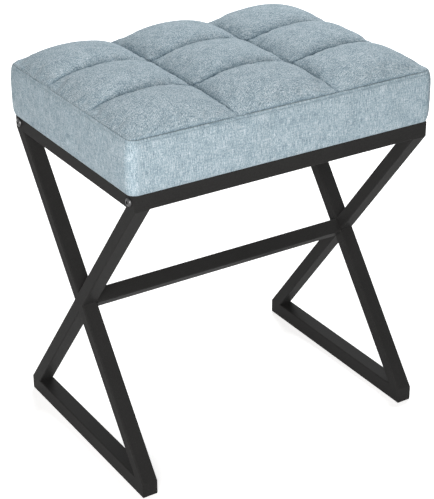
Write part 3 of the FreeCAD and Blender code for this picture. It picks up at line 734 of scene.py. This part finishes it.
def band_profile():
    """The band's closed section as (out, height) pairs, and how many of them are outside.

    They run from the turned edge up the outer face, over the seam, down the
    inner face and under. The outer face stands out by bulge (1 - |2 t - 1| to a
    power) at the share t of the height, with a dent for the row of stitches,
    and rolls in at the seam.
    """
    dent, dent_reach = 0.0002, 0.0007
    dense_foot, dense_top = 0.12, 0.86
    inner, foot, inner_foot = -FABRIC_THICKNESS, BAND_FOOT.z, BAND_FOOT.z + FABRIC_THICKNESS
    share = np.concatenate([np.linspace(0, 1, 14)[1:] ** 1.6 * dense_foot,
                            np.linspace(dense_foot, dense_top, 26)[1:],
                            np.linspace(dense_top, 1, 30)[1:]])
    outer_z = foot + share * (BAND_HEIGHT - BAND_ROLL)
    outer = SIDE_BULGE * (1 - np.abs(2 * share - 1) ** SIDE_POWER)
    outer = outer - dent * np.exp(-((outer_z - STITCH_Z) / dent_reach) ** 2)
    turn = np.linspace(0, np.pi / 2, 6)[1:]
    inner_z = np.linspace(SEAM_Z, inner_foot, 20)
    under = np.linspace(inner, -TURN_UNDER, 12)[1:]
    lines = [(outer, outer_z),
             (-BAND_ROLL * (1 - np.cos(turn)), SEAM_Z - BAND_ROLL + BAND_ROLL * np.sin(turn)),
             (np.full_like(inner_z, inner), inner_z),
             (under, np.full_like(under, inner_foot)),
             (under[::-1], np.full_like(under, foot)),
             ((inner, 0.0), (foot, foot))]
    return np.concatenate([np.stack(line, axis=1) for line in lines]), len(share)


def side_band(material):
    """The sewn side of the cover: its section carried round the seat's outline.

    The outer face is soft: it swells and sinks by an uneven wave along the
    outline, and is drawn in under each groove's end. On the long sides it has
    painted shade at the seam and in the row of stitches.
    """
    swell, draw, draw_reach, draw_depth = 0.0011, 0.0009, 0.005, 0.012
    outline = Outline(HALF_X, HALF_Y, CORNER_RADIUS, 0.0025)
    profile, outer_count = band_profile()
    out, height = (np.repeat(profile[:, [k]], len(outline.walked), axis=1) for k in (0, 1))
    share = np.clip((height - BAND_FOOT.z) / BAND_HEIGHT, 0, 1)
    is_outer = (np.arange(len(profile)) < outer_count)[:, None]
    walked = outline.walked[None, :]
    wave = ripples(walked, [outline.perimeter / n for n in (9, 14, 23, 37)], 7)
    lift = ripples(height, (0.05, 0.031), 8)
    wave = swell * wave * (0.6 + 0.4 * lift) * np.sin(np.pi * share)
    plan = outline.at(0.0)
    on_long_side = np.abs(outline.normal[:, 1]) > 0.99
    to_groove = np.where(on_long_side, groove_distance(plan[:, 0], HALF_X, COLUMNS),
                         groove_distance(plan[:, 1], HALF_Y, ROWS))[None, :]
    drawn = draw * np.exp(-(to_groove / draw_reach) ** 2 - (SEAM_Z - height) / draw_depth)
    out = out + np.where(is_outer, wave - drawn, 0)
    plan = np.stack([outline.at(line) for line in out])
    points = np.concatenate([plan, height[..., None]], axis=-1)
    faces = grid_faces(*height.shape, close_lines=True, close_points=True)
    steps = np.linalg.norm(np.diff(profile, axis=0, prepend=profile[:1]), axis=1)
    up = np.repeat(np.cumsum(steps)[:, None], len(outline.walked), axis=1)
    cloth = np.stack([np.broadcast_to(walked, up.shape), up], axis=-1)
    # Painted shade at the seam and in the row of stitches, on the long sides only.
    stitch_share, stitch_reach = STITCH_SHADE
    painted_shade = painted_shade_line(SEAM_Z - height, SEAM_SHADE)
    painted_shade += stitch_share * np.exp(-((height - STITCH_Z) / stitch_reach) ** 2)
    painted_shade = np.where(is_outer & on_long_side[None, :], painted_shade, 0)
    piece = new_piece("sewn_side_band", points.reshape(-1, 3), [faces[:, ::-1]], material,
                      cloth=cloth.reshape(-1, 2), painted_shade=painted_shade.ravel())
    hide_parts("cover_side_band")


# Stitches, foam and the cloth underneath

def stitches(name, centres, along, out, length, radius, material):
    """A row of short threads, each a capsule bent down at its ends.

    At the share t from -1 to 1 of its length a thread's radius is the full one
    times the fourth root of (1 - t to the fourth), and it lies lower by 0.6
    radius times t squared.
    """
    t = np.linspace(-1, 1, 7)
    turn = np.linspace(0, 2 * np.pi, 7)[:-1]
    thick = radius * np.maximum(1 - t ** 4, 0.02) ** 0.25
    side = np.cross(along, out)
    run = (t * length / 2)[None, :, None, None] * along[:, None, None, :]
    across = (thick[:, None] * np.cos(turn))[None, :, :, None] * side[:, None, None, :]
    lift = thick[:, None] * np.sin(turn) - 0.6 * radius * t[:, None] ** 2
    lift = lift[None, :, :, None] * out[:, None, None, :]
    points = centres[:, None, None, :] + run + across + lift
    count, rings, around = points.shape[:3]
    one = grid_faces(rings, around, close_points=True)
    starts = (np.arange(count) * rings * around)[:, None]
    tubes = (one[None] + starts[..., None]).reshape(-1, 4)
    cap = np.arange(around)
    caps = np.concatenate([starts + cap[::-1], starts + (rings - 1) * around + cap])
    new_piece(name, points.reshape(-1, 3), [tubes[:, ::-1], caps[:, ::-1]], material)


def rim_stitching(material):
    """The row of stitches on the band, just under the seam."""
    pitch, length, radius, sunk = 0.0042, 0.0031, 0.00025, 0.0003
    outline = Outline(HALF_X, HALF_Y, CORNER_RADIUS, pitch, arc_spans=4)
    share = (STITCH_Z - BAND_FOOT.z) / BAND_HEIGHT
    out = SIDE_BULGE * (1 - abs(2 * share - 1) ** SIDE_POWER) - sunk
    places = np.column_stack([outline.at(out), np.full(len(outline.walked), STITCH_Z)])
    normal = np.column_stack([outline.normal, np.zeros(len(outline.walked))])
    along = np.cross(np.array([0.0, 0.0, 1.0]), normal)
    stitches("rim_stitching", places, along, normal, length, radius, material)


def groove_stitching(material):
    """Stitches along the floor of every groove."""
    pitch, length, radius, inset, proud = 0.0045, 0.0033, 0.00035, 0.006, 0.0003
    centres, along = [], []
    for axis, half, cross_half, count in ((0, HALF_X, HALF_Y, ROWS), (1, HALF_Y, HALF_X, COLUMNS)):
        run = np.linspace(inset - half, half - inset, round(2 * (half - inset) / pitch) + 1)
        for line in -cross_half + 2 * cross_half / count * np.arange(1, count):
            level = np.full_like(run, line)
            x, y = (run, level) if axis == 0 else (level, run)
            z = SEAM_Z + pillow_heights(x, y) + proud
            centres.append(np.column_stack([x, y, z]))
            along.append(np.tile(np.eye(3)[axis], (len(run), 1)))
    centres, along = np.concatenate(centres), np.concatenate(along)
    out = np.tile([0.0, 0.0, 1.0], (len(centres), 1))
    stitches("groove_stitching", centres, along, out, length, radius, material)


def closed_rings(rings):
    """A closed shell through rings of points, with a pole in the middle of each end."""
    lines, points = rings.shape[:2]
    flat = rings.reshape(-1, 3)
    poles = np.stack([rings[0].mean(axis=0), rings[-1].mean(axis=0)])
    first, last = np.arange(points), (lines - 1) * points + np.arange(points)
    faces = [grid_faces(lines, points, close_points=True)[:, ::-1],
             fan_faces(first, lines * points), fan_faces(last, lines * points + 1)[:, ::-1]]
    return np.concatenate([flat, poles]), faces


def foam_core(material):
    """The foam block: rounded along its edges, with a top crowned by a cosine."""
    slack, edge, crown = 0.0002, 0.005, 0.0012
    top, foot = FOAM_TOP.z - 0.0006, FOAM_FOOT.z + 0.0003
    outline = Outline(FOAM_TOP.x - slack, FOAM_TOP.y - slack, CORNER_RADIUS - FABRIC_THICKNESS,
                      0.006)
    turn = np.linspace(0, np.pi / 2, 6)
    low = [(edge * (np.sin(a) - 1), foot + edge * (1 - np.cos(a))) for a in turn]
    high = [(edge * (np.cos(a) - 1), top - crown - edge + edge * np.sin(a)) for a in turn]
    shares = np.array([0.15, 0.45, 0.75, 0.92])
    base = outline.at(-edge)
    rings = [(base * s, foot) for s in shares]
    rings += [(outline.at(out), z) for out, z in low + high]
    rings += [(base * s, top - crown * (1 - math.cos(math.pi / 2 * s))) for s in shares[::-1]]
    rings = [np.column_stack([plan, np.full(len(plan), z)]) for plan, z in rings]
    points, faces = closed_rings(np.stack(rings))
    piece = new_piece("foam_core", points, faces, material)
    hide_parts("seat_foam")


def underside_cloth(material):
    """The cloth stapled under the board.

    It sags by a cosine each way and puckers between the staples by an uneven
    wave that fades away from its edge.
    """
    half_x, half_y = CLOTH_TOP.x, CLOTH_TOP.y
    thickness, gap, sag, pucker, pucker_reach = 0.0004, 0.0001, 0.0012, 0.0002, 0.02
    x, y = np.meshgrid(np.linspace(-half_x, half_x, 120), np.linspace(-half_y, half_y, 84),
                       indexing="ij")
    edge = np.minimum(half_x - np.abs(x), half_y - np.abs(y))
    wave = ripples(x + y, (0.052, 0.033), 11) * np.exp(-edge / pucker_reach)
    hang = sag * np.cos(np.pi / 2 * x / half_x) * np.cos(np.pi / 2 * y / half_y)
    z = CLOTH_TOP.z - gap - hang + pucker * (wave - 1)
    points = np.stack([x, y, z], axis=-1).reshape(-1, 3)
    faces_down = grid_faces(*x.shape)[:, [0, 3, 2, 1]]
    piece = new_piece("underside_cloth", points, [faces_down], material)
    wall = piece.modifiers.new("thickness", "SOLIDIFY")
    wall.thickness, wall.offset = thickness, -1.0
    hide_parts("dust_cover")


# Floor and background

def seen_directly(tree):
    """1 for rays from the camera, off gloss and through glass; 0 for light that falls on things."""
    path = tree.nodes.new("ShaderNodeLightPath").outputs
    shown = maths(tree, "MAXIMUM", path["Is Camera Ray"], path["Is Glossy Ray"])
    return maths(tree, "MAXIMUM", shown, path["Is Transmission Ray"])


def set_world():
    """A dim even world for the light, and white where it is seen."""
    world = bpy.data.worlds.new("studio")
    world.use_nodes = True
    bpy.context.scene.world = world
    tree = world.node_tree
    light = tree.nodes["Background"]
    light.inputs["Color"].default_value = rgba(1.0, 1.0, 1.0)
    light.inputs["Strength"].default_value = WORLD_LIGHT
    white = add_node(tree, "ShaderNodeBackground",
                     {"Color": rgba(1.0, 1.0, 1.0), "Strength": 1.0})
    blend = add_node(tree, "ShaderNodeMixShader",
                     {0: seen_directly(tree), 1: light.outputs[0], 2: white.outputs[0]})
    tree.links.new(blend.outputs[0], tree.nodes["World Output"].inputs["Surface"])


def add_floor():
    """A wide pale floor: it keeps the stool's shadow, and where it is seen it fades to white."""
    half = 30.0
    corners = [(-half, -half, 0), (half, -half, 0), (half, half, 0), (-half, half, 0)]
    mesh = bpy.data.meshes.new("floor")
    mesh.from_pydata(corners, [], [(0, 1, 2, 3)])
    floor = bpy.data.objects.new("floor", mesh)
    bpy.context.collection.objects.link(floor)
    material, tree, shader = new_material("pale_floor", (0.8, 0.8, 0.8), 0.9, specular=0.0)
    away = add_node(tree, "ShaderNodeVectorMath", {0: object_place(tree)},
                    operation="LENGTH").outputs["Value"]
    fade = add_node(tree, "ShaderNodeMapRange",
                    {"Value": away, "From Min": NEAR_DISTANCE, "From Max": FAR_DISTANCE,
                     "To Min": NEAR_GLOW, "To Max": FAR_GLOW})
    glow = maths(tree, "MULTIPLY", seen_directly(tree), fade.outputs["Result"])
    shader.inputs["Emission Color"].default_value = rgba(1.0, 1.0, 1.0)
    tree.links.new(glow, shader.inputs["Emission Strength"])
    mesh.materials.append(material)


# Putting the stool together

def dress_frame():
    """Give every carried-over node the finish of its slot."""
    finishes = {
        "frame_powder_coat": powder_coat(),
        "black_oxide_bolts": black_oxide(),
        "bare_steel": zinc_plate("zinc_plated_steel", 0.55, 0.25),
        "staple_wire": zinc_plate("galvanised_wire", 0.6, 0.2),
        "plywood": birch_plywood(),
        "foam": open_cell_foam(),
        "seat_fabric": seat_linen("seat_linen_top", 1.1, 0.9, 1.9),
        "dust_cloth": bonded_cloth(),
    }
    for part in frame["record"]["subparts"]:
        node = frame["nodes"][part["node"]]
        node.data.materials.clear()
        node.data.materials.append(finishes[part["material_slot"]])
    return finishes


add_camera()
add_lights()
set_world()
add_floor()
finishes = dress_frame()
thread = sewing_thread()
tufted_top(finishes["seat_fabric"])
side_band(seat_linen("seat_linen_side", 1.4, 0.6, 1.2))
rim_stitching(thread)
groove_stitching(thread)
foam_core(finishes["foam"])
underside_cloth(finishes["dust_cloth"])

bpy.context.scene.view_settings.view_transform = "Standard"
